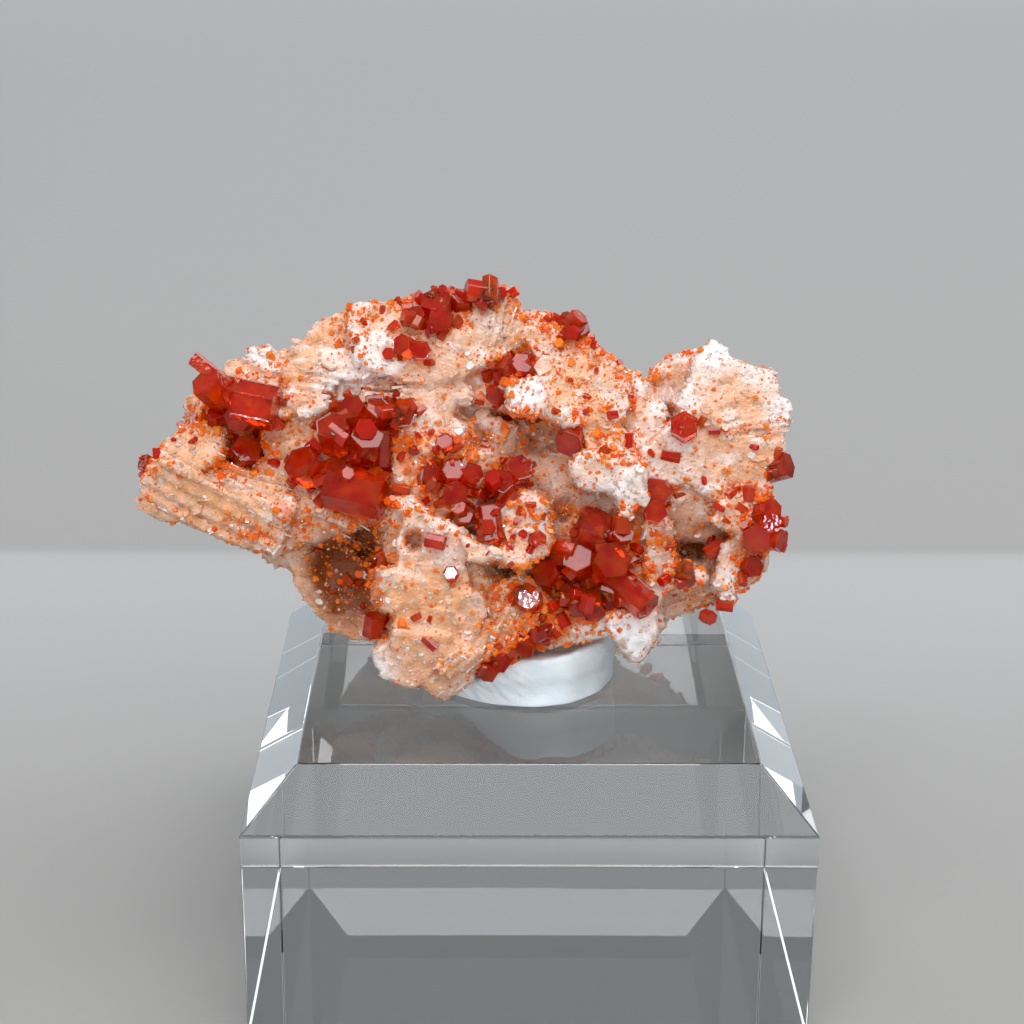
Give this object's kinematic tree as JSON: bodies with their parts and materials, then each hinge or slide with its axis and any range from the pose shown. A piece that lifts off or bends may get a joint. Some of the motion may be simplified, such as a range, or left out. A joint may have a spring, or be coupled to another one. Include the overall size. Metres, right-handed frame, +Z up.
{
  "type": "vanadinite on barite matrix mineral specimen",
  "caption": "Red vanadinite crystals on a cream bladed barite matrix, held by white mineral tack on a clear bevelled acrylic display block.",
  "frame": {"origin": "centre of the display block's bottom face", "axes": "+X to the viewer's right, +Y away from the viewer, +Z up; the specimen leans back 20 degrees about X"},
  "size_m": [0.0618, 0.0508, 0.0641],
  "materials": {
    "clear_acrylic": "polished clear cast acrylic",
    "mineral_tack": "matt white putty, faintly wrinkled",
    "barite": "sugary satin, cream and peach with brown stained hollows",
    "vanadinite": "resinous gloss, translucent deep red to orange red"
  },
  "bodies": {
    "root": {"display_block": "clear_acrylic", "mineral_tack": "mineral_tack", "barite_matrix": "barite", "vanadinite_wing_top": "vanadinite", "vanadinite_wing_hollow": "vanadinite", "vanadinite_wing_rim": "vanadinite", "vanadinite_wing_tip": "vanadinite", "vanadinite_main_left": "vanadinite", "vanadinite_knob": "vanadinite", "vanadinite_crown": "vanadinite", "vanadinite_upper_pair": "vanadinite", "vanadinite_upper_orange": "vanadinite", "vanadinite_upper_chip": "vanadinite", "vanadinite_mid_top": "vanadinite", "vanadinite_mid_low": "vanadinite", "vanadinite_plateau_crest": "vanadinite", "vanadinite_barrel": "vanadinite", "vanadinite_hex_pair": "vanadinite", "vanadinite_tablet_right": "vanadinite", "vanadinite_right_upper": "vanadinite", "vanadinite_right_chip": "vanadinite", "vanadinite_edge_crystal": "vanadinite", "vanadinite_edge_cluster": "vanadinite", "vanadinite_cheek_crystal": "vanadinite", "vanadinite_pocket_crystal": "vanadinite", "vanadinite_tongue_crystal": "vanadinite", "vanadinite_blade_chip_right": "vanadinite", "vanadinite_blade_chip_left": "vanadinite", "vanadinite_main_right": "vanadinite", "vanadinite_foot": "vanadinite", "vanadinite_seam_right": "vanadinite", "vanadinite_seam_left": "vanadinite", "vanadinite_centre": "vanadinite", "vanadinite_centre_top": "vanadinite", "vanadinite_rubble_crystal": "vanadinite", "vanadinite_rubble_left": "vanadinite", "vanadinite_tablet_centre": "vanadinite", "vanadinite_mirror": "vanadinite", "vanadinite_lip_crystal": "vanadinite", "vanadinite_lip_chip": "vanadinite", "vanadinite_recess_prism": "vanadinite", "vanadinite_toe_tablet": "vanadinite", "vanadinite_back_group": "vanadinite"}
  },
  "joints": []
}
